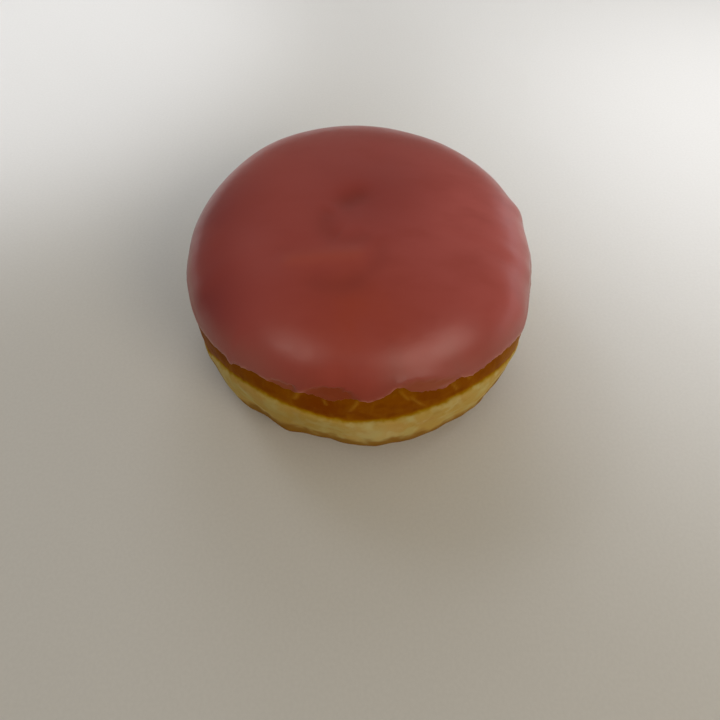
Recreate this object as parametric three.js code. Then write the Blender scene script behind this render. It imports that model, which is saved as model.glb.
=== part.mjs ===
// A berliner doughnut: a round of fried yeast dough with pink icing over its top.
// Millimetres, +Z up. The origin is the middle of the flat spot it rests on, and the front faces -Y.
// Azimuths run from the front (-Y) towards +X.
import * as THREE from "three";

// The whole doughnut
const RADIUS = 45; // mean radius at its widest, which the icing and the pale collar reach
const HEIGHT = 42.5; // from the table to the crown of the icing
const EQUATOR_HEIGHT = 21.5; // where the side stands upright
const SHOULDER_POWER = 2.8; // power of the superellipse of the dome: 2 is round, more is squarer

// The underside
const REST_RADIUS = 30; // the flat spot that it rests on
const FOOT_RADIUS = 44.1; // where the rounding of the underside ends
const FOOT_HEIGHT = 9.5;

// The icing, and how it meets the crust
const ICING_AT_SIDE = 1.2; // thickness down the side
const ICING_ON_TOP = 1.8;
const ICING_GAP = 0.3; // clearance between the icing and the dough
const CRUST_STEP = 0.5; // the browned crust lies this far inside the pale collar
const CRUST_STEP_HEIGHT = 2; // over this height
const TUCK_HEIGHT = 3; // below the icing's edge the crust turns in under it over this height
const TUCK_CLEARANCE = 0.4; // the tuck is complete this far below the edge

// Lower edge of the icing: it hangs lower at the two sides than at the front and back
const EDGE_HEIGHT = 28.6;
const EDGE_SWAY = 1.7;
// Tongues of icing that ran lower, and notches, with a negative drop, between them
const TONGUES = [
  { azimuth: -51, width: 7, drop: 0.9 },
  { azimuth: -38, width: 4, drop: 1.0 },
  { azimuth: -8, width: 4, drop: 1.1 },
  { azimuth: 2, width: 5, drop: 1.2 },
  { azimuth: 11, width: 4, drop: -1.2 },
  { azimuth: 44, width: 6, drop: 0.8 },
  { azimuth: 72, width: 8, drop: -0.9 },
  { azimuth: 96, width: 7, drop: 1.6 },
  { azimuth: 123, width: 6, drop: -0.8 },
  { azimuth: 149, width: 9, drop: 1.3 },
  { azimuth: 184, width: 6, drop: 1.7 },
  { azimuth: 207, width: 7, drop: -1.0 },
  { azimuth: 236, width: 8, drop: 1.2 },
  { azimuth: 268, width: 6, drop: 1.0 },
];

// Upper edge of the pale collar, a wavy line
const COLLAR_TOP = 24.9;
const COLLAR_WAVE = { count: 6, size: 1.9, crest: 30 };

// Seen from above the doughnut is not quite round: lobes of this size, with a crest at this azimuth
const LOBES = [
  { count: 2, size: 1.25, crest: 8 },
  { count: 3, size: 0.15, crest: -56 },
  { count: 4, size: 0.35, crest: 39 },
  { count: 5, size: 0.3, crest: -25 },
  { count: 6, size: 0.28, crest: -24 },
];
const FOOT_LOBES = { count: 6, size: 0.7, crest: 7 }; // these fade out up the collar
const FOOT_LOBES_TOP = 24;
const FADE_RADIUS = 30; // lobes and lump fade towards the axis inside this radius

// Shallow dents in the top, and a lump in the icing's side at the back right
const DENTS = [
  { x: -1, y: 2, radius: 3.4, depth: 0.7 },
  { x: -4.5, y: -8, radius: 5, depth: 0.45 },
  { x: -5, y: -19, radius: 6, depth: 0.5 },
  { x: 5, y: 17, radius: 7, depth: 0.4 },
];
const LUMP = { azimuth: 105, height: 31.5, width: 7, rise: 5, size: 1.1 };

// Colours
const FRIED_GOLD = 0xcf9440;
const ICING_PINK = 0xd8766e;

// Facets
const SEGMENTS = 90;
const FOOT_STEPS = 6;
const COLLAR_STEPS = 4;
const TUCK_STEPS = 3;
const DOME_STEPS = 11;
const LIP_STEPS = 4;

const { degToRad, lerp, smoothstep } = THREE.MathUtils;

// Degrees from one azimuth to another, the short way round
const degreesBetween = (azimuth, other) => ((((azimuth - other) % 360) + 540) % 360) - 180;

const bell = (distance, width) => Math.exp(-((distance / width) ** 2));

const wave = (azimuth, { count, size, crest }) => size * Math.cos(count * degToRad(azimuth - crest));

const sum = (values) => values.reduce((total, value) => total + value, 0);

const offAxis = (radius) => smoothstep(radius, 0, FADE_RADIUS);

// How far the side stands out from round
function lobes(azimuth, radius, height) {
  const whole = sum(LOBES.map((lobe) => wave(azimuth, lobe)));
  const foot = wave(azimuth, FOOT_LOBES) * (1 - smoothstep(height, FOOT_HEIGHT, FOOT_LOBES_TOP));
  return (whole + foot) * offAxis(radius);
}

function dents(x, y) {
  return sum(DENTS.map((dent) => dent.depth * bell(Math.hypot(x - dent.x, y - dent.y), dent.radius)));
}

function icingEdge(azimuth) {
  const sway = EDGE_SWAY * Math.cos(2 * degToRad(azimuth));
  const dropOf = (tongue) => tongue.drop * bell(degreesBetween(azimuth, tongue.azimuth), tongue.width);
  return EDGE_HEIGHT + sway - sum(TONGUES.map(dropOf));
}

const collarTop = (azimuth) => COLLAR_TOP + wave(azimuth, COLLAR_WAVE);

// How far the outside of the icing stands out at the lump
function lump(azimuth, radius, height) {
  const across = bell(degreesBetween(azimuth, LUMP.azimuth), LUMP.width);
  return LUMP.size * offAxis(radius) * across * bell(height - LUMP.height, LUMP.rise);
}

// A dome stands on the equator. Its angle runs from 0 there to 90 degrees at the crown.
const outerDome = { radius: RADIUS, crown: HEIGHT };
const innerDome = { radius: RADIUS - ICING_AT_SIDE, crown: HEIGHT - ICING_ON_TOP };
const doughDome = { radius: innerDome.radius - ICING_GAP, crown: innerDome.crown - ICING_GAP };

function domePoint(dome, angle) {
  const power = 2 / SHOULDER_POWER;
  const across = Math.max(Math.cos(angle), 0) ** power;
  return [dome.radius * across, lerp(EQUATOR_HEIGHT, dome.crown, Math.sin(angle) ** power)];
}

function domeAngle(dome, height) {
  const share = Math.max(height - EQUATOR_HEIGHT, 0) / (dome.crown - EQUATOR_HEIGHT);
  return Math.asin(share ** (SHOULDER_POWER / 2));
}

// Points of a dome from a height up to the crown, without the first
function domeRise(dome, height) {
  const start = domeAngle(dome, height);
  const points = [];
  for (let step = 1; step < DOME_STEPS; step++) {
    points.push(domePoint(dome, lerp(start, Math.PI / 2, step / DOME_STEPS)));
  }
  points.push([0, dome.crown]);
  return points;
}

// Outer radius of the bare dough's side: collar, crust, and the tuck under the icing
function sideRadius(azimuth, height) {
  const edge = icingEdge(azimuth);
  const low = lerp(FOOT_RADIUS, RADIUS, smoothstep(height, FOOT_HEIGHT, EQUATOR_HEIGHT));
  const high = domePoint(outerDome, domeAngle(outerDome, height))[0];
  const outer = height < EQUATOR_HEIGHT ? low : high;
  const border = collarTop(azimuth);
  const crust = outer - CRUST_STEP * smoothstep(height, border - CRUST_STEP_HEIGHT, border);
  const under = domePoint(doughDome, domeAngle(doughDome, height))[0];
  return lerp(crust, under, smoothstep(height, edge - TUCK_HEIGHT, edge - TUCK_CLEARANCE));
}

// Radius and height from the middle of the base up to the crown of the dough
function doughProfile(azimuth) {
  const points = [[0, 0]];
  for (let step = 0; step < FOOT_STEPS; step++) {
    const angle = ((step / FOOT_STEPS) * Math.PI) / 2;
    points.push([lerp(REST_RADIUS, FOOT_RADIUS, Math.sin(angle)), FOOT_HEIGHT * (1 - Math.cos(angle))]);
  }
  const edge = icingEdge(azimuth);
  const border = Math.min(collarTop(azimuth), edge - TUCK_HEIGHT);
  const heights = [];
  for (let step = 0; step <= COLLAR_STEPS; step++) {
    heights.push(lerp(FOOT_HEIGHT, border - CRUST_STEP_HEIGHT, step / COLLAR_STEPS));
  }
  for (let step = 0; step <= TUCK_STEPS; step++) {
    heights.push(lerp(border, edge - TUCK_CLEARANCE, step / TUCK_STEPS));
  }
  heights.forEach((height) => points.push([sideRadius(azimuth, height), height]));
  return points.concat(domeRise(doughDome, edge - TUCK_CLEARANCE));
}

// Radius and height from the crown's underside, down and round the lip, up to the crown
function icingProfile(azimuth) {
  const edge = icingEdge(azimuth);
  const lip = ICING_AT_SIDE / 2;
  const withLump = ([radius, height]) => [radius + lump(azimuth, radius, height), height];
  const inner = domePoint(innerDome, domeAngle(innerDome, edge + lip));
  const outer = withLump(domePoint(outerDome, domeAngle(outerDome, edge + lip)));
  const points = domeRise(innerDome, edge + lip).reverse();
  for (let step = 0; step <= LIP_STEPS; step++) {
    const angle = (step / LIP_STEPS) * Math.PI;
    const across = (1 - Math.cos(angle)) / 2;
    points.push([lerp(inner[0], outer[0], across), edge + lip * (1 - Math.sin(angle))]);
  }
  return points.concat(domeRise(outerDome, edge + lip).map(withLump));
}

// A body turned about the axis, whose profile changes with the azimuth
function unevenLathe(profileAt) {
  const first = profileAt(0).map(([radius, height]) => new THREE.Vector2(radius, height));
  const geometry = new THREE.LatheGeometry(first, SEGMENTS);
  const position = geometry.getAttribute("position");
  for (let segment = 0; segment <= SEGMENTS; segment++) {
    const azimuth = ((segment % SEGMENTS) * 360) / SEGMENTS;
    profileAt(azimuth).forEach(([radius, height], index) => {
      const reach = radius + lobes(azimuth, radius, height);
      const x = reach * Math.sin(degToRad(azimuth));
      const y = -reach * Math.cos(degToRad(azimuth));
      const sunk = height > EQUATOR_HEIGHT ? height - dents(x, y) : height;
      position.setXYZ(segment * first.length + index, x, sunk, -y);
    });
  }
  geometry.rotateX(Math.PI / 2);
  geometry.computeVertexNormals();
  return geometry;
}

function makePiece(name, geometry, color, roughness) {
  const material = new THREE.MeshStandardMaterial({ color, roughness, metalness: 0 });
  const mesh = new THREE.Mesh(geometry, material);
  mesh.name = name;
  return mesh;
}

const berliner = new THREE.Group();
berliner.add(
  makePiece("dough", unevenLathe(doughProfile), FRIED_GOLD, 0.6),
  makePiece("icing", unevenLathe(icingProfile), ICING_PINK, 0.4),
);

export default berliner;
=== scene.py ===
"""The looks of a berliner doughnut with pink icing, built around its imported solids.

Shapes are worked out in millimetres of the CAD model, on rings of points about the upright axis.
Azimuths run from the front (-Y) towards +X, in degrees.
"""

import math

import bpy
import numpy as np
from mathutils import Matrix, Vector, noise


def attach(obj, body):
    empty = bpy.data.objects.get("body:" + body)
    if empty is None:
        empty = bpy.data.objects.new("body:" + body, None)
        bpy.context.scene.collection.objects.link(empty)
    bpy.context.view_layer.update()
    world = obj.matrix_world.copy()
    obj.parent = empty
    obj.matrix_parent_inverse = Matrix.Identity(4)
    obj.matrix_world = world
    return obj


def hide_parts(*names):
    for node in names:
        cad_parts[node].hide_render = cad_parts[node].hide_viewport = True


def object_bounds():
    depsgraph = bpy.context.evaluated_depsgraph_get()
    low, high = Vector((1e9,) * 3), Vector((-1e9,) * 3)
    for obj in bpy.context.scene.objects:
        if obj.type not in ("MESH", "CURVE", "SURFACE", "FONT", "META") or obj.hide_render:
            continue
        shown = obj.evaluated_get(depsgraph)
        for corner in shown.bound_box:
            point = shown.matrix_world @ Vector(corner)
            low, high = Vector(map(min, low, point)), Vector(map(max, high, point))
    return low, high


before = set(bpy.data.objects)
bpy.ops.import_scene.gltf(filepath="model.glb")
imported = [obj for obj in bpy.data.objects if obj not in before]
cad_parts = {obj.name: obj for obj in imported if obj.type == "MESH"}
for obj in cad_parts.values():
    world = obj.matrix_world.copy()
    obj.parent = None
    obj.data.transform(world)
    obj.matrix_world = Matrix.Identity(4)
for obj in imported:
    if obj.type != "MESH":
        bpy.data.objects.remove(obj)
cad_low, cad_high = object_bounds()

# The frame's own height sets the length of a millimetre. Only lights and floor have sizes in metres.
CAD_HEIGHT = 42.39
MM = (cad_high.z - cad_low.z) / CAD_HEIGHT

# The whole doughnut, as in the CAD model
RADIUS = 45
CROWN_HEIGHT = 42.5
EQUATOR_HEIGHT = 21.5
SHOULDER_POWER = 2.8  # power of the superellipse of the dome
REST_RADIUS = 30
FOOT_RADIUS = 44.1
FOOT_HEIGHT = 9.5
LOBES = [(2, 1.25, 8), (3, 0.15, -56), (4, 0.35, 39), (5, 0.3, -25), (6, 0.28, -24)]  # count, size, crest
FOOT_LOBE = (6, 0.7, 7)  # the same, on the foot alone
FOOT_FADE_TOP = 24  # what shapes the foot alone fades out up to this height
FADE_RADIUS = 30  # the side's unevenness fades towards the axis inside this radius

# Where the side stands further out, or with a size below zero further in
SWELLS = [  # azimuth, width, size
    (-160, 14, -0.3), (-112, 14, 0.3), (-86, 8, -0.25), (-64, 5, 0.3), (60, 8, 0.6), (75, 4, 0.4),
    (84, 8, 0.4), (120, 14, 0.35), (158, 10, -0.35),
]
FOOT_SWELLS = [  # the same, on the foot alone
    (-66, 7, 0.9), (-34, 4, -0.6), (-23, 3.5, 0.45), (-20, 6, -0.45), (-10, 5, -0.8), (5, 4, 0.4),
    (29, 3, -0.3), (38, 6, 0.5),
]

# Low relief of smooth noise: each layer has a size, a grain, octaves and a seed
COLLAR_FOLDS = (0.22, (6, 6, 5), 2, 6)
BLISTERS = (0.07, 2.2, 2, 7)
UNDERSIDE_KNOBS = (0.35, (5, 5, 4), 2, 8)
ICING_WAVES = [(0.10, 11, 1, 9), (0.012, 2.2, 1, 10)]

# The top of the icing: shallow dents, and the grooves (painted shade) and raised fold (painted highlight)
# its last turn left
DENTS = [(-1, 1, 7, 0.35), (-5, -20, 6, 0.3), (5, 17, 7, 0.4)]  # x, y, radius, depth
GROOVE_DEPTH = 0.45
DIMPLE = ((-2.6, 2.2), (-0.6, 3.8), 3.1)  # start, end, width
CURLS = [  # share of the depth, centre, radius, first angle, last angle, width
    (0.55, (-2.4, -4.8), 5.4, 150, 235, 2.7),
    (0.35, (-2.4, -4.8), 5.4, 235, 305, 2.2),
    (0.5, (-5.5, -12), 10.4, 250, 300, 2.6),
    (0.3, (-5.5, -12), 10.4, 300, 350, 2.2),
]
CURL_FADE = 16  # degrees over which the ends of a curl fade
FOLD = ((-15, -15.6), (-1, -14.6), 2.0)  # start, end, width
FOLD_HEIGHT = 0.25
TOP_START = 33  # dents and grooves set in at this height
TOP_FULL = 40  # and are whole from this one up

# A lump in the icing's side
LUMP = {"azimuth": 103.5, "height": 31.5, "width": 4.5, "rise": 5, "size": 0.9}

# The icing's lower edge: its mean height and sway, and where it hangs lower or, below zero, higher
EDGE_HEIGHT = 28.3
EDGE_SWAY = (2, 1.7, 0)  # count, size, crest
EDGE_RUNS = [  # azimuth, width, drop
    (-58, 5, 1.6), (-50, 3, 0.4), (-40, 1.6, 1.2), (-32, 11, -1.3), (-16, 1.5, -0.4), (-7.5, 3.6, 1.4),
    (2.5, 3.4, 1.3), (11, 2.6, -1.6), (29, 2.4, -1.0), (40, 9, -1.4), (57, 4, 1.0), (72, 8, -0.9),
    (100, 9, 0.8), (123, 6, -0.8), (149, 9, 1.3), (184, 6, 1.7), (207, 7, -1.0), (236, 8, 1.2),
    (268, 6, 1.0),
]
EDGE_JITTER = [(0.22, 1.6, 2, 1), (0.33, 5.0, 2, 2), (0.20, 0.8, 2, 3)]  # as for the low relief
LIP_HEIGHT = 0.5  # the lip is rounded over this height
LIP_HIGHLIGHT_PLACE = {"rise": 0.35, "width": 0.4}  # a painted highlight: a paler line this far above the edge
BEAD = {"rise": 1.1, "width": 1.0, "size": 0.14}  # a slight swelling above the lip
THIN_HEIGHT = 8  # the icing looks thinner towards its edge over this height
BROWNISH_FRONT = {"azimuth": -4, "width": 18}  # where thin icing and the film look brownish

# Thin patches along that edge, where the icing drew back and left only a film. They are ellipses.
FILM_PATCHES = [  # azimuth, height of the middle, half width in degrees, half height, softness
    (-22.5, 29.9, 4.6, 1.6, 0.45), (-19.2, 30.6, 1.4, 1.0, 0.5), (-8, 29.9, 6.8, 2.4, 0.22),
    (17, 30.8, 6.5, 1.6, 0.5), (23, 30.6, 4.0, 1.0, 0.6), (77, 29.0, 6, 1.7, 0.4),
    (118, 28.5, 7, 2.0, 0.3), (163, 28.8, 6, 1.6, 0.3), (205, 29.4, 8, 2.2, 0.3), (252, 28.0, 7, 1.8, 0.3),
]
FILM_OUTLINE = (0.16, 1.8, 2, 3)  # unevenness of their outlines, as for the low relief
FILM_THICKNESS = 0.12
FILM_LIP_HEIGHT = 0.15  # the film is whole from this far above the edge

# The pale collar: its wavy upper edge, where the crust steps in, and the browned underside below it
COLLAR_TOP = 24.5
COLLAR_WAVE = (6, 1.9, 30)  # count, size, crest
COLLAR_DIPS = [  # azimuth, width, drop
    (-98, 12, 2.6), (-81, 13, 6.0), (-62, 9, 8.6), (-42, 6, 0.7), (-4, 5, 0.5), (12, 12, 1.5),
    (24, 7, 0.6), (53, 5, 0.9), (66, 11, 4.4), (87, 12, 2.2),
]
COLLAR_JITTER = [(0.35, 3.0, 2, 4)]
COLLAR_STEP = 0.65  # how far the crust steps in, in front and at the back
COLLAR_STEP_AT_SIDE = 0.28
COLLAR_STEP_HEIGHT = 2  # over this height
CRUST_START = 2.0  # the crust's browning sets in this far below the collar's upper edge
CRUST_FULL = 1.1  # and is whole this far above it
BOTTOM_TOP = 11.8  # mean height of the line up to which the underside is browned
BOTTOM_RUNS = [  # azimuth, width, drop
    (-46, 8, 2.4), (-33, 5, -1.2), (-20, 6, -1.8), (0, 4, 0.5), (32, 14, 1.0),
]
BOTTOM_JITTER = [(0.8, 3.0, 2, 5), (1.0, 12.0, 2, 11)]
UNDERSIDE_START = 2.5  # browning of the underside sets in this far above its line
UNDERSIDE_DEPTH = 10  # and deepens over this height

# Light folds in the crust: a width, and a short line of (azimuth, height) points
CREASES = [
    (0.30, [(11, 30.8), (13, 28.7), (14, 27.6)]),
    (0.34, [(14, 28.9), (16, 27.0), (18.5, 24.6)]),
    (0.32, [(26, 30.1), (27, 28.6), (28, 26.8)]),
    (0.42, [(0, 29.6), (-1, 27.9), (-3, 25.2)]),
    (0.32, [(-10, 29.2), (-9.5, 28.2), (-9, 27.2)]),
    (0.50, [(-17, 30.6), (-17.5, 28.6), (-18.5, 27.4)]),
    (0.30, [(31, 30.4), (32, 28.4)]),
]
CREASE_HEIGHT = 0.12

# How the two pieces meet out of sight: the icing's inner wall runs just inside the dough's top
DOUGH_TOP_DEPTH = 1.2  # these four are depths below the dome
DOUGH_CROWN_DEPTH = 1.5
ICING_WALL_DEPTH = 1.4
ICING_CROWN_DEPTH = 1.8
CRUST_OVERLAP = 0.6  # the crust goes on this far above the icing's edge
TOP_RISE = 0.2  # the dough's top starts at least this far above that
WALL_RISE = 1  # the icing's inner wall comes down to this far above its edge
TUCK_RISE = 0.15  # from there it tucks in to a line this far above its edge
TUCK_DEPTH = 0.25  # and this far inside the crust
ICING_CLEARANCE = 0.2  # down at its edge, thick icing lies at least this far outside the film

# Points round each ring, and how many rings each stretch has
SEGMENTS = 640
AZIMUTHS = np.arange(SEGMENTS)[None, :] * 360 / SEGMENTS
REST_RINGS = 8
FOOT_RINGS = 25
SIDE_RINGS = 96
DOUGH_TOP_RINGS = 12
ICING_WALL_RINGS = 9
EDGE_ZONE_RINGS = 64
EDGE_ZONE_HEIGHT = 6  # height of the zone whose rings follow the icing's edge
EDGE_ZONE_CROWDING = 1.6  # above 1, its rings crowd towards the edge
DOME_RINGS = 78
DOME_CROWDING = 1.15  # and these towards that zone

# The noise in the shapes
NOISE_FALLOFF = 1.0  # how fast its finer octaves weaken
NOISE_STEP = 2.0  # how many times finer each octave is than the last
SEED_STEP = 37.3  # the distance in the noise from one seed's place to the next, in grains


def smoothstep(value, low, high):
    share = np.clip((value - low) / (high - low), 0, 1)
    return share * share * (3 - 2 * share)


def lerp(start, end, share):
    return start + (end - start) * share


def bell(distance, width):
    return np.exp(-((distance / width) ** 2))


def degrees_between(azimuth, other):
    """Degrees from one azimuth to another, the short way round."""
    return (azimuth - other + 540) % 360 - 180


def wave(azimuth, count, size, crest):
    return size * np.cos(count * np.radians(azimuth - crest))


def bumps(azimuth, places):
    """The sum of bells round the doughnut, each with an azimuth and width in degrees, and a size."""
    return sum(size * bell(degrees_between(azimuth, at), width) for at, width, size in places)


def around(azimuth, reach, height):
    """Points at these azimuths, reaches from the axis and heights."""
    angle = np.radians(azimuth)
    return np.stack(np.broadcast_arrays(reach * np.sin(angle), -reach * np.cos(angle), height), -1)


def lumps(points, size, grain, octaves, seed):
    """Smooth noise of about this size either way at the points, whose lumps are a grain apart."""
    places = (points / np.broadcast_to(grain, 3) + SEED_STEP * (seed + 1)).reshape(-1, 3)
    flat = [noise.fractal(Vector(place), NOISE_FALLOFF, NOISE_STEP, octaves) for place in places]
    return size * np.array(flat).reshape(points.shape[:-1])


def jitter(azimuth, layers):
    """Layers of such noise that change only round the doughnut."""
    ring = around(azimuth, RADIUS, 0.0)
    return sum(lumps(ring, *layer) for layer in layers)


def column(count):
    """Even shares between 0 and 1, without either end, for this many rings."""
    return np.linspace(0, 1, count + 2)[1:-1, None]


def lobes(azimuth, reach, height):
    """How far the side stands out from round."""
    whole = sum(wave(azimuth, *lobe) for lobe in LOBES) + bumps(azimuth, SWELLS)
    foot = wave(azimuth, *FOOT_LOBE) + bumps(azimuth, FOOT_SWELLS)
    foot = foot * (1 - smoothstep(height, FOOT_HEIGHT, FOOT_FADE_TOP))
    return (whole + foot) * smoothstep(reach, 0, FADE_RADIUS)


def dome_angle(height):
    """Angle of the dome at a height: 0 at the equator, a quarter turn at the crown."""
    share = np.maximum(height - EQUATOR_HEIGHT, 0) / (CROWN_HEIGHT - EQUATOR_HEIGHT)
    return np.arcsin(np.minimum(share, 1) ** (SHOULDER_POWER / 2))


def dome_point(angle, depth=0):
    """Radius and height at an angle of the dome, this deep below its surface."""
    power = 2 / SHOULDER_POWER
    radius = RADIUS * np.cos(angle) ** power
    height = lerp(EQUATOR_HEIGHT, CROWN_HEIGHT, np.sin(angle) ** power)
    return radius - depth, height - depth


def dome_radius(height):
    return dome_point(dome_angle(height))[0]


def side_radius(height):
    """Outer radius of the whole doughnut's side, from the foot up to the dome."""
    low = lerp(FOOT_RADIUS, RADIUS, smoothstep(height, FOOT_HEIGHT, EQUATOR_HEIGHT))
    return np.where(height < EQUATOR_HEIGHT, low, dome_radius(height))


def icing_edge(azimuth):
    """Height of the icing's lower edge."""
    plain = EDGE_HEIGHT + wave(azimuth, *EDGE_SWAY)
    return plain - bumps(azimuth, EDGE_RUNS) + jitter(azimuth, EDGE_JITTER)


def collar_top(azimuth):
    """Height of the collar's upper edge, where the crust begins."""
    plain = COLLAR_TOP + wave(azimuth, *COLLAR_WAVE)
    return plain - bumps(azimuth, COLLAR_DIPS) + jitter(azimuth, COLLAR_JITTER)


def bottom_top(azimuth):
    """Height of the line up to which the underside is browned."""
    return BOTTOM_TOP - bumps(azimuth, BOTTOM_RUNS) + jitter(azimuth, BOTTOM_JITTER)


def crease_share(azimuth, height):
    """1 along the middle of a crease in the crust, fading at its sides and ends."""
    share = np.zeros(np.broadcast(azimuth, height).shape)
    millimetres = math.radians(1) * RADIUS
    for width, line in CREASES:
        pieces = len(line) - 1
        for index, ((at, low), (to, high)) in enumerate(zip(line, line[1:])):
            along = np.array([(to - at) * millimetres, high - low])
            x = degrees_between(azimuth, at) * millimetres
            y = height - low
            part = np.clip((x * along[0] + y * along[1]) / (along @ along), 0, 1)
            away = np.hypot(x - part * along[0], y - part * along[1])
            whole = (index + part) / pieces
            share = np.maximum(share, bell(away, width) * (4 * whole * (1 - whole)) ** 0.5)
    return share


def film_share(azimuth, height):
    """1 where the icing is only a film, 0 where it has its full thickness."""
    rough = lumps(around(azimuth, RADIUS, height), *FILM_OUTLINE)
    share = 0
    for at, middle, half_width, half_height, softness in FILM_PATCHES:
        across = degrees_between(azimuth, at) / half_width
        away = np.hypot(across, (height - middle) / half_height) + rough
        share = np.maximum(share, 1 - smoothstep(away, 1 - softness, 1 + softness))
    return share


def dough_reach(azimuth, height):
    """How far the bare dough's side reaches from the axis: collar, then crust up under the icing."""
    border = collar_top(azimuth)
    crust = smoothstep(height, border - COLLAR_STEP_HEIGHT, border)
    step = lerp(COLLAR_STEP_AT_SIDE, COLLAR_STEP, np.cos(np.radians(azimuth)) ** 2)
    reach = side_radius(height) - step * crust
    reach = reach + lobes(azimuth, reach, height)
    points = around(azimuth, reach, height)
    relief = lerp(lumps(points, *COLLAR_FOLDS), lumps(points, *BLISTERS), crust)
    relief = relief + CREASE_HEIGHT * crease_share(azimuth, height)
    return reach + relief * smoothstep(height, 0, FOOT_HEIGHT)


def closed_mesh(name, first, rings, last, attributes):
    """A closed mesh of rings of points between two points on the axis, with values at its points."""
    rows, count = rings.shape[:2]
    vertices = np.concatenate([[first], rings.reshape(-1, 3), [last]]) * MM
    ring = np.arange(count)
    after = (ring + 1) % count
    starts = 1 + count * np.arange(rows)[:, None]
    low = starts[:-1]
    high = starts[1:]
    quads = np.stack([low + ring, low + after, high + after, high + ring], -1).reshape(-1, 4)
    bottom = [(0, 1 + b, 1 + a) for a, b in zip(ring, after)]
    top = starts[-1, 0]
    cap = [(len(vertices) - 1, top + a, top + b) for a, b in zip(ring, after)]
    mesh = bpy.data.meshes.new(name)
    mesh.from_pydata(vertices.tolist(), [], quads.tolist() + bottom + cap)
    for attribute, values in attributes.items():
        layer = mesh.attributes.new(attribute, "FLOAT", "POINT")
        layer.data.foreach_set("value", np.concatenate([values[0, :1], values.ravel(), values[-1, :1]]))
    mesh.shade_smooth()
    mesh.validate()
    piece = bpy.data.objects.new(name, mesh)
    bpy.context.scene.collection.objects.link(piece)
    return piece


def make_dough():
    # the underside: a flat spot, then a quarter ellipse up to the foot
    flat = np.linspace(0, REST_RADIUS, REST_RINGS + 1)[1:, None]
    turn = np.pi / 2 * column(FOOT_RINGS)
    under_radius = np.concatenate([flat, lerp(REST_RADIUS, FOOT_RADIUS, np.sin(turn))])
    under_height = np.concatenate([np.zeros_like(flat), FOOT_HEIGHT * (1 - np.cos(turn))])
    under_height = np.broadcast_to(under_height, (len(under_height), SEGMENTS))
    under_reach = under_radius + lobes(AZIMUTHS, under_radius, under_height)
    knobs = lumps(around(AZIMUTHS, under_reach, under_height), *UNDERSIDE_KNOBS)
    under_reach = under_reach + knobs * smoothstep(under_height, 0, FOOT_HEIGHT)
    # the side, up to just above the icing's edge
    side_top = icing_edge(AZIMUTHS) + CRUST_OVERLAP
    side_height = lerp(FOOT_HEIGHT, side_top, np.linspace(0, 1, SIDE_RINGS)[:, None])
    side_reach = dough_reach(AZIMUTHS, side_height)
    # the hidden top
    rise = lerp(dome_angle(side_top), np.pi / 2, column(DOUGH_TOP_RINGS))
    top_radius, top_height = dome_point(rise, DOUGH_TOP_DEPTH)
    top_height = np.maximum(top_height, side_top + TOP_RISE)
    top_reach = top_radius + lobes(AZIMUTHS, top_radius, top_height)

    heights = np.concatenate([under_height, side_height, top_height])
    reaches = np.concatenate([under_reach, side_reach, top_reach])
    border = collar_top(AZIMUTHS)
    above_line = heights - bottom_top(AZIMUTHS)
    values = {
        "crust": smoothstep(heights, border - CRUST_START, border + CRUST_FULL),
        "underside": np.clip((UNDERSIDE_START - above_line) / UNDERSIDE_DEPTH, 0, 1),
        "crease": crease_share(AZIMUTHS, heights),
    }
    crown = (0, 0, CROWN_HEIGHT - DOUGH_CROWN_DEPTH)
    return closed_mesh("dough_skin", (0, 0, 0), around(AZIMUTHS, reaches, heights), crown, values)


def stroke(x, y, start, end, width):
    """1 along a straight stroke seen from above, fading at its sides and ends."""
    along = np.array(end) - np.array(start)
    length = np.hypot(*along)
    along = along / length
    part = np.clip((x - start[0]) * along[0] + (y - start[1]) * along[1], 0, length)
    return bell(np.hypot(x - start[0] - part * along[0], y - start[1] - part * along[1]), width)


def curl(x, y, centre, radius, start, end, width):
    """1 along an arc seen from above, fading at its sides and ends. Its angles run from +X to +Y."""
    away = np.hypot(x - centre[0], y - centre[1]) - radius
    angle = np.degrees(np.arctan2(y - centre[1], x - centre[0]))
    past = np.abs(degrees_between(angle, (start + end) / 2)) - (end - start) / 2
    return bell(away, width) * bell(np.maximum(past, 0), CURL_FADE)


def grooves(x, y):
    """The grooves in the top, 1 at the deepest."""
    curls = [share * curl(x, y, *shape) for share, *shape in CURLS]
    return np.maximum.reduce([stroke(x, y, *DIMPLE), *curls])


def fold(x, y):
    """The raised fold beside the grooves, along which a highlight is painted."""
    return stroke(x, y, *FOLD)


def sink(x, y):
    """How far the top of the icing lies below the plain dome."""
    depth = sum(deep * bell(np.hypot(x - at_x, y - at_y), radius) for at_x, at_y, radius, deep in DENTS)
    return depth + GROOVE_DEPTH * grooves(x, y) - FOLD_HEIGHT * fold(x, y)


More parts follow.
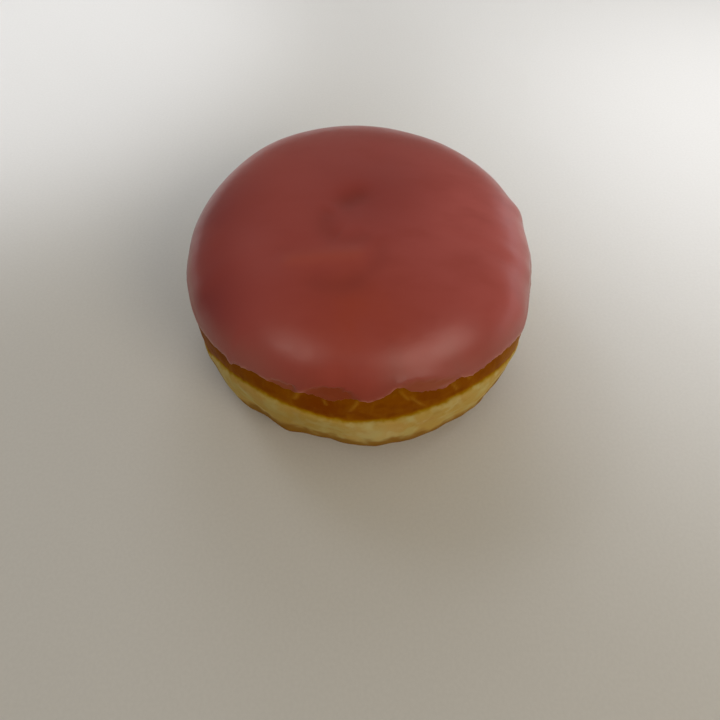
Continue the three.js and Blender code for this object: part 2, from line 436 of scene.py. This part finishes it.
def make_icing():
    edge = icing_edge(AZIMUTHS)
    # the hidden inner wall, down from the crown to inside the dough
    share = np.linspace(0, 1, ICING_WALL_RINGS + 1)[1:, None]
    fall = lerp(np.pi / 2, dome_angle(edge + WALL_RISE), share)
    wall_radius, wall_height = dome_point(fall, ICING_WALL_DEPTH)
    wall_reach = wall_radius + lobes(AZIMUTHS, wall_radius, wall_height)
    tuck_height = edge + TUCK_RISE
    tuck_reach = dough_reach(AZIMUTHS, edge) - TUCK_DEPTH
    # the zone along the edge: a rounded lip, or where it is thin a film on the crust
    above = EDGE_ZONE_HEIGHT * np.linspace(0, 1, EDGE_ZONE_RINGS)[:, None] ** EDGE_ZONE_CROWDING
    zone_height = edge + above
    crust = dough_reach(AZIMUTHS, zone_height)
    film = crust + FILM_THICKNESS * np.minimum(above / FILM_LIP_HEIGHT, 1) ** 0.5
    outer = dome_radius(zone_height)
    outer = outer + lobes(AZIMUTHS, outer, zone_height)
    outside = np.maximum(film + ICING_CLEARANCE - outer, 0) * (1 - smoothstep(above, 0, EDGE_ZONE_HEIGHT))
    lip = np.sqrt(1 - (1 - np.minimum(above / LIP_HEIGHT, 1)) ** 2)
    full = lip * (1 - film_share(AZIMUTHS, zone_height))
    zone_reach = lerp(film, outer + outside, full)
    # the dome above it
    climb = lerp(dome_angle(zone_height[-1:]), np.pi / 2, column(DOME_RINGS) ** DOME_CROWDING)
    dome_across, dome_height = dome_point(climb)
    dome_reach = dome_across + lobes(AZIMUTHS, dome_across, dome_height)

    heights = np.concatenate([wall_height, tuck_height, zone_height, dome_height])
    reaches = np.concatenate([wall_reach, tuck_reach, zone_reach, dome_reach])
    hidden = np.zeros((len(wall_height) + len(tuck_height), SEGMENTS))
    thick = np.concatenate([hidden, full, np.ones(dome_reach.shape)])
    # the lump, the bead and the waves
    at_lump = bell(degrees_between(AZIMUTHS, LUMP["azimuth"]), LUMP["width"])
    lump = LUMP["size"] * at_lump * bell(heights - LUMP["height"], LUMP["rise"])
    bead = BEAD["size"] * bell(heights - edge - BEAD["rise"], BEAD["width"])
    plain = around(AZIMUTHS, reaches, heights)
    waves = sum(lumps(plain, *layer) for layer in ICING_WAVES)
    fade = smoothstep(reaches, 0, FADE_RADIUS)
    reaches = reaches + thick * (lump + bead + waves) * fade
    rings = around(AZIMUTHS, reaches, heights)
    on_top = thick * smoothstep(heights, TOP_START, TOP_FULL)
    x = rings[..., 0]
    y = rings[..., 1]
    rings[..., 2] -= on_top * (sink(x, y) - waves * (1 - fade))
    brownish = bell(degrees_between(AZIMUTHS, BROWNISH_FRONT["azimuth"]), BROWNISH_FRONT["width"])
    values = {
        "film": film_share(AZIMUTHS, heights),
        "thin": 1 - smoothstep(heights, edge, edge + THIN_HEIGHT),
        # where the painted highlight along the lip goes
        "lip": bell(heights - edge - LIP_HIGHLIGHT_PLACE["rise"], LIP_HIGHLIGHT_PLACE["width"]) * thick,
        "front": np.broadcast_to(brownish, heights.shape),
        "grooves": grooves(x, y) * on_top,
        "fold": fold(x, y) * on_top,
    }
    under_crown = (0, 0, CROWN_HEIGHT - ICING_CROWN_DEPTH)
    crown = (0, 0, CROWN_HEIGHT - float(sink(0.0, 0.0)))
    return closed_mesh("icing_cap", under_crown, rings, crown, values)


class Look:
    """A node material on the Principled shader. Its places and lengths are given in millimetres."""

    def __init__(self, name):
        self.material = bpy.data.materials.new(name)
        self.material.use_nodes = True
        self.tree = self.material.node_tree
        self.shader = self.tree.nodes["Principled BSDF"]
        self.places = self.add("TexCoord").outputs["Object"]

    def add(self, kind, inputs=None, **settings):
        """A new node, whose inputs are given as numbers, colours or the sockets that feed them."""
        node = self.tree.nodes.new("ShaderNode" + kind)
        for key, value in settings.items():
            setattr(node, key, value)
        for key, value in (inputs or {}).items():
            if isinstance(value, bpy.types.NodeSocket):
                self.tree.links.new(value, node.inputs[key])
            else:
                node.inputs[key].default_value = value
        return node

    def attribute(self, name):
        return self.add("Attribute", attribute_name=name).outputs["Fac"]

    def noise(self, grain, detail=2, stretch=(1, 1, 1)):
        """Noise from 0 to 1 whose lumps are about a grain across, times the stretch."""
        scale = [1 / (grain * MM * each) for each in stretch]
        places = self.add("Mapping", {"Vector": self.places, "Scale": scale}).outputs["Vector"]
        return self.add("TexNoise", {"Vector": places, "Scale": 1, "Detail": detail}).outputs["Fac"]

    def near(self, place, reach):
        """1 at a place, down to 0 where it is further away than the reach."""
        middle = [each * MM for each in place]
        away = self.add("VectorMath", {0: self.places, 1: middle}, operation="DISTANCE").outputs["Value"]
        return self.span(away, reach * MM, 0)

    def span(self, value, low, high, start=0, end=1):
        """The value brought smoothly from the range low to high over to start to end, and held there."""
        ends = {"Value": value, "From Min": low, "From Max": high, "To Min": start, "To Max": end}
        return self.add("MapRange", ends, interpolation_type="SMOOTHSTEP").outputs["Result"]

    def sum(self, first, second):
        return self.add("Math", {0: first, 1: second}, operation="ADD").outputs[0]

    def times(self, first, second):
        return self.add("Math", {0: first, 1: second}, operation="MULTIPLY").outputs[0]

    def mix(self, share, first, second):
        """The colour first where the share is 0, and second where it is 1."""
        # a Mix node has sockets for each type of data: inputs 6 and 7 and output 2 are the colours
        colours = {0: share, 6: first, 7: second}
        return self.add("Mix", colours, data_type="RGBA").outputs[2]

    def tint(self, colour, mask, share, over):
        """The colour with another laid over it where the mask is 1, at this share."""
        return self.mix(self.times(mask, share), colour, over)

    def tint_zones(self, colour, zones, mask=1):
        """The colour with others laid over it, each near its place and where the mask is 1."""
        for place, reach, share, over in zones:
            colour = self.tint(colour, self.times(self.near(place, reach), mask), share, over)
        return colour

    def ramp(self, value, stops):
        node = self.add("ValToRGB", {"Fac": value})
        elements = node.color_ramp.elements
        elements[0].position, elements[0].color = stops[0]
        elements[1].position, elements[1].color = stops[-1]
        for position, colour in stops[1:-1]:
            elements.new(position).color = colour
        return node.outputs["Color"]

    def bump(self, height, distance, under=None):
        """Normals of a relief of this depth, on top of the normals under it."""
        inputs = {"Height": height, "Distance": distance * MM}
        if under is not None:
            inputs["Normal"] = under
        return self.add("Bump", inputs).outputs["Normal"]

    def finish(self, colour, roughness, specular, normal=None):
        for key, value in (("Base Color", colour), ("Roughness", roughness), ("Normal", normal)):
            if isinstance(value, bpy.types.NodeSocket):
                self.tree.links.new(value, self.shader.inputs[key])
            elif value is not None:
                self.shader.inputs[key].default_value = value
        self.shader.inputs["Specular IOR Level"].default_value = specular
        return self.material


def rgb(red, green, blue):
    return (red, green, blue, 1)


# The icing's pinks
PINK = rgb(0.392, 0.070, 0.056)
ORANGE_PINK = rgb(0.398, 0.061, 0.031)
STREAK_PINK = rgb(0.345, 0.052, 0.038)
# painted shade for the grooves and a painted highlight for the fold
GROOVE_PAINTED_SHADE = rgb(0.255, 0.037, 0.025)
FOLD_PAINTED_HIGHLIGHT = rgb(0.48, 0.100, 0.060)
ICING_PAINTED_LIGHT_AND_SHADE = [  # place, reach, share, colour: painted light, lighter and rosier at the right, and painted shade, deeper at the left and round the crown
    ((30, -3, 38), 40, 1, rgb(0.500, 0.106, 0.093)),
    ((-37, -22, 32), 20, 1, rgb(0.250, 0.031, 0.029)),
    ((-42, 4, 33), 28, 1, rgb(0.252, 0.032, 0.030)),
    ((4, 5, 42), 21, 0.8, rgb(0.325, 0.045, 0.034)),
]
# The lower rim and the film: brownish in front, paler at the sides, and painted shade on the rim at the
# left
RIM_AT_SIDE = rgb(0.30, 0.091, 0.071)
RIM_IN_FRONT = rgb(0.238, 0.034, 0.013)
LEFT_RIM_PAINTED_SHADE = [((-43, -6, 28), 30, 0.9, rgb(0.25, 0.047, 0.030))]
FILM_AT_SIDE = rgb(0.30, 0.075, 0.034)
FILM_IN_FRONT = rgb(0.235, 0.036, 0.003)
PAINTED_LIP_HIGHLIGHT = rgb(0.52, 0.20, 0.14)
ICING_ROUGHNESS = (0.28, 0.34)
ICING_SPECULAR = 0.3


def icing_material():
    look = Look("pink_icing")
    warm = look.times(look.near((0, -30, 36), 24), look.span(look.noise(9), 0.3, 0.7, 0.6, 1))
    # painted light at the right, painted shade at the left and round the crown
    pink = look.tint_zones(look.mix(warm, PINK, ORANGE_PINK), ICING_PAINTED_LIGHT_AND_SHADE)
    streaks = look.span(look.noise(6, 3, (2, 1, 1)), 0.4, 0.8)
    pink = look.tint(pink, streaks, 0.4, STREAK_PINK)
    # painted shade in the grooves of the top
    pink = look.tint(pink, look.attribute("grooves"), 0.7, GROOVE_PAINTED_SHADE)
    # painted highlight along the raised fold
    pink = look.tint(pink, look.attribute("fold"), 0.4, FOLD_PAINTED_HIGHLIGHT)
    front = look.attribute("front")
    thin = look.attribute("thin")
    pink = look.tint(pink, thin, 0.8, look.mix(front, RIM_AT_SIDE, RIM_IN_FRONT))
    # painted shade on the rim at the left
    pink = look.tint_zones(pink, LEFT_RIM_PAINTED_SHADE, thin)
    colour = look.mix(look.attribute("film"), pink, look.mix(front, FILM_AT_SIDE, FILM_IN_FRONT))
    # a painted highlight along the lip
    lip_highlight_mask = look.times(look.attribute("lip"), look.span(look.noise(2.5), 0.42, 0.6))
    colour = look.tint(colour, lip_highlight_mask, 0.5, PAINTED_LIP_HIGHLIGHT)
    roughness = look.span(look.noise(3, 3), 0.3, 0.7, *ICING_ROUGHNESS)
    grain = look.bump(look.noise(0.5), 0.010)
    ripple = look.bump(look.noise(4, 1), 0.02, grain)
    return look.finish(colour, roughness, ICING_SPECULAR, ripple)


# The dough from the pale collar to the dark crust, and the browned underside
BROWNING = [
    (0.05, rgb(0.46, 0.31, 0.078)),
    (0.35, rgb(0.36, 0.21, 0.010)),
    (0.55, rgb(0.29, 0.125, 0.0004)),
    (0.75, rgb(0.25, 0.082, 0.0002)),
    (1.0, rgb(0.225, 0.064, 0.0002)),
]
UNDERSIDE_BROWNING = [
    (0.2, rgb(0.31, 0.17, 0.040)),
    (0.5, rgb(0.26, 0.135, 0.024)),
    (0.75, rgb(0.24, 0.11, 0.014)),
    (1, rgb(0.22, 0.09, 0.006)),
]
DARK_CRUST = rgb(0.165, 0.036, 0.0002)
WRINKLE_BROWN = rgb(0.31, 0.130, 0.003)
CREASE_BROWN = rgb(0.42, 0.21, 0.02)
CRUST_ZONES = [  # place, reach, share, colour: dark in front, golden at the right
    ((-8.5, -43, 27), 8, 1, rgb(0.185, 0.040, 0.0002)),
    ((38, -24, 24), 16, 1, rgb(0.275, 0.100, 0.002)),
]
MOTTLING = [  # grain, start and end of the noise's range, share, colour: cream, peach, pale and tan
    (5, 0.45, 0.62, 0.7, rgb(0.46, 0.38, 0.14)),
    (6, 0.5, 0.66, 0.55, rgb(0.485, 0.295, 0.086)),
    (3.6, 0.5, 0.68, 0.45, rgb(0.54, 0.47, 0.22)),
    (3, 0.55, 0.75, 0.35, rgb(0.36, 0.22, 0.040)),
]
PALE_COLLAR = rgb(0.53, 0.45, 0.20)
COLLAR_PAINTED_LIGHT_AND_SHADE = [  # as for the crust: painted shade darker left of the front, painted light paler in front and further left
    ((-14, -42, 18), 13, 0.6, rgb(0.36, 0.23, 0.045)),
    ((3, -45, 14), 9, 0.5, PALE_COLLAR),
    ((-36, -26, 15), 11, 0.4, PALE_COLLAR),
]
COLLAR_ROUGHNESS = 0.62
CRUST_ROUGHNESS = 0.45
DOUGH_SPECULAR = 0.01


def dough_material():
    look = Look("fried_dough")
    crust = look.sum(look.attribute("crust"), look.span(look.noise(1.7, 3), 0, 1, -0.2, 0.2))
    baked = look.span(crust, 0.5, 0.9)
    deep = look.times(look.span(look.noise(4, 1, (1, 1, 0.8)), 0.45, 0.65), baked)
    colour = look.tint(look.ramp(crust, BROWNING), deep, 0.45, DARK_CRUST)
    colour = look.tint_zones(colour, CRUST_ZONES, baked)
    wrinkle = look.times(look.span(look.noise(2.2, 2, (1, 1, 4)), 0.5, 0.75), baked)
    colour = look.tint(colour, wrinkle, 0.3, WRINKLE_BROWN)
    bare = look.span(crust, 0.45, 0.05)
    for grain, low, high, share, over in MOTTLING:
        spots = look.span(look.noise(grain, 2, (1, 1, 1.3)), low, high)
        colour = look.tint(colour, look.times(spots, bare), share, over)
    # painted shade left of the front, painted light in front and further left
    colour = look.tint_zones(colour, COLLAR_PAINTED_LIGHT_AND_SHADE, bare)
    blotches = look.span(look.noise(3, 1), 0, 1, -0.16, 0.16)
    under = look.sum(look.attribute("underside"), blotches)
    colour = look.mix(look.span(under, 0.18, 0.46), colour, look.ramp(under, UNDERSIDE_BROWNING))
    colour = look.tint(colour, look.attribute("crease"), 0.45, CREASE_BROWN)
    roughness = look.span(crust, 0.3, 0.9, COLLAR_ROUGHNESS, CRUST_ROUGHNESS)
    crumb = look.bump(look.noise(0.45, 3), 0.05)
    pores = look.bump(look.noise(1.4), 0.08, crumb)
    return look.finish(colour, roughness, DOUGH_SPECULAR, pores)


# The plain floor
FLOOR_HALF = 2.5  # metres from its middle to its sides
PAPER = rgb(0.715, 0.71, 0.68)
PAPER_FIBRE = rgb(0.735, 0.73, 0.70)
PAPER_ROUGHNESS = 0.85
PAPER_SPECULAR = 0.2


def floor_material():
    look = Look("paper")
    fibres = look.span(look.noise(0.8, 3), 0.3, 0.7)
    return look.finish(look.mix(fibres, PAPER, PAPER_FIBRE), PAPER_ROUGHNESS, PAPER_SPECULAR)


def make_floor():
    mesh = bpy.data.meshes.new("floor")
    corners = [(x * FLOOR_HALF, y * FLOOR_HALF, 0) for x, y in ((-1, -1), (1, -1), (1, 1), (-1, 1))]
    mesh.from_pydata(corners, [], [(0, 1, 2, 3)])
    mesh.materials.append(floor_material())
    floor = bpy.data.objects.new("floor", mesh)
    bpy.context.scene.collection.objects.link(floor)


# A camera like a phone's main lens. It is pitched lower than its target, which so lies above the middle
# of the picture.
CAMERA_TARGET = Vector((0, 0, 15 * MM))
CAMERA_ELEVATION = 50
CAMERA_DISTANCE = 150.34 * MM
CAMERA_PITCH = 58.12
CAMERA_YAW = 0.127
CAMERA_LENS = 27.05
CAMERA_SENSOR = 36


def make_camera():
    data = bpy.data.cameras.new("camera")
    data.sensor_width = CAMERA_SENSOR
    data.lens = CAMERA_LENS
    camera = bpy.data.objects.new("camera", data)
    up = math.radians(CAMERA_ELEVATION)
    camera.location = CAMERA_TARGET + CAMERA_DISTANCE * Vector((0, -math.cos(up), math.sin(up)))
    camera.rotation_euler = (math.radians(90 - CAMERA_PITCH), 0, -math.radians(CAMERA_YAW))
    bpy.context.scene.collection.objects.link(camera)
    bpy.context.scene.camera = camera


# The lights of the room. Their distances and sizes are in metres.
WINDOW_COLOUR = (0.98, 1, 1.08)
ROOM_COLOUR = (1, 0.84, 0.62)
STREAK_COLOUR = (1, 0.97, 0.86)
SKY_COLOUR = (1, 0.955, 0.86, 1)
SKY_STRENGTH = 0.255
SIDE_LIGHT_DISTANCE = 0.8
SPOT_RADIUS = 0.03  # of the lamp itself, which softens its shadow


def add_light(name, width, height, radiance, colour, shades, shines):
    data = bpy.data.lights.new(name, "AREA")
    data.shape = "RECTANGLE"
    data.size = width
    data.size_y = height
    data.energy = math.pi * width * height * radiance
    data.color = colour
    light = bpy.data.objects.new(name, data)
    light.visible_diffuse = shades
    light.visible_glossy = shines
    light.visible_camera = False
    bpy.context.scene.collection.objects.link(light)
    return light


def side_light(name, azimuth, elevation, width, height, radiance, colour, shades=True, shines=True):
    """A soft light that faces the doughnut. Its azimuth runs as the doughnut's does.

    One that doesn't shine only lights surfaces up, and one that doesn't shade only shows as a highlight.
    """
    light = add_light(name, width, height, radiance, colour, shades, shines)
    turn = math.radians(azimuth)
    up = math.radians(elevation)
    away = Vector((math.sin(turn) * math.cos(up), -math.cos(turn) * math.cos(up), math.sin(up)))
    light.location = CAMERA_TARGET + away * SIDE_LIGHT_DISTANCE
    light.rotation_euler = away.to_track_quat("Z", "Y").to_euler()


def hanging_light(name, x, y, height, size, radiance):
    """A window's light from close above, which faces down and only lights surfaces up."""
    light = add_light(name, size, size, radiance, WINDOW_COLOUR, True, False)
    light.location = (x, y, height)


def spot_light(name, x, y, height, reach, blend, brightness):
    """A window's light that falls from a height on a round of this reach."""
    data = bpy.data.lights.new(name, "SPOT")
    data.spot_size = 2 * math.atan(reach / height)
    data.spot_blend = blend
    data.shadow_soft_size = SPOT_RADIUS
    data.energy = 4 * math.pi ** 2 * height ** 2 * brightness
    data.color = WINDOW_COLOUR
    light = bpy.data.objects.new(name, data)
    light.location = (x, y, height)
    light.visible_glossy = False
    bpy.context.scene.collection.objects.link(light)


def make_lights():
    world = bpy.data.worlds.new("room")
    world.use_nodes = True
    sky = world.node_tree.nodes["Background"]
    sky.inputs["Color"].default_value = SKY_COLOUR
    sky.inputs["Strength"].default_value = SKY_STRENGTH
    bpy.context.scene.world = world
    # the windows behind the doughnut brighten the floor there
    hanging_light("window_left", -0.25, 0.25, 0.35, 0.15, 4.3)
    hanging_light("window_middle", 0, 0.3, 0.2, 0.12, 1.95)
    spot_light("patch_left", -0.15, 0.15, 0.3, 0.16, 0.8, 0.49)
    spot_light("patch_right", 0.2, 0.05, 0.3, 0.22, 0.9, 0.42)
    spot_light("patch_behind", 0.14, 0.16, 0.3, 0.24, 0.9, 0.38)
    side_light("window_behind", 180, 35, 0.35, 0.25, 1.74, WINDOW_COLOUR, shines=False)
    # the room in front, brighter at the right, lights the top and the side
    side_light("room_low", 45, 12, 0.35, 0.25, 3.9, ROOM_COLOUR, shines=False)
    side_light("room_left", -65, 12, 0.35, 0.25, 1.7, ROOM_COLOUR, shines=False)
    side_light("room_high", 45, 35, 0.35, 0.25, 4.3, ROOM_COLOUR, shines=False)
    # highlights: streaks in front, one of them lower down, and a broad sheen at the right
    side_light("streak_left", -48, 54, 0.36, 0.26, 2.8, STREAK_COLOUR, shades=False)
    side_light("streak_right", 47, 48, 0.56, 0.34, 3.5, STREAK_COLOUR, shades=False)
    side_light("streak_foot", 25, 26, 0.16, 0.2, 3.8, STREAK_COLOUR, shades=False)
    side_light("sheen_right", 114, 5, 0.85, 0.26, 1.2, WINDOW_COLOUR, shades=False)


bpy.context.scene.view_settings.view_transform = "Standard"
make_camera()
make_lights()
make_floor()

dough = make_dough()
dough.data.materials.append(dough_material())
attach(dough, "root")
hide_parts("dough")

icing = make_icing()
icing.data.materials.append(icing_material())
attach(icing, "root")
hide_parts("icing")
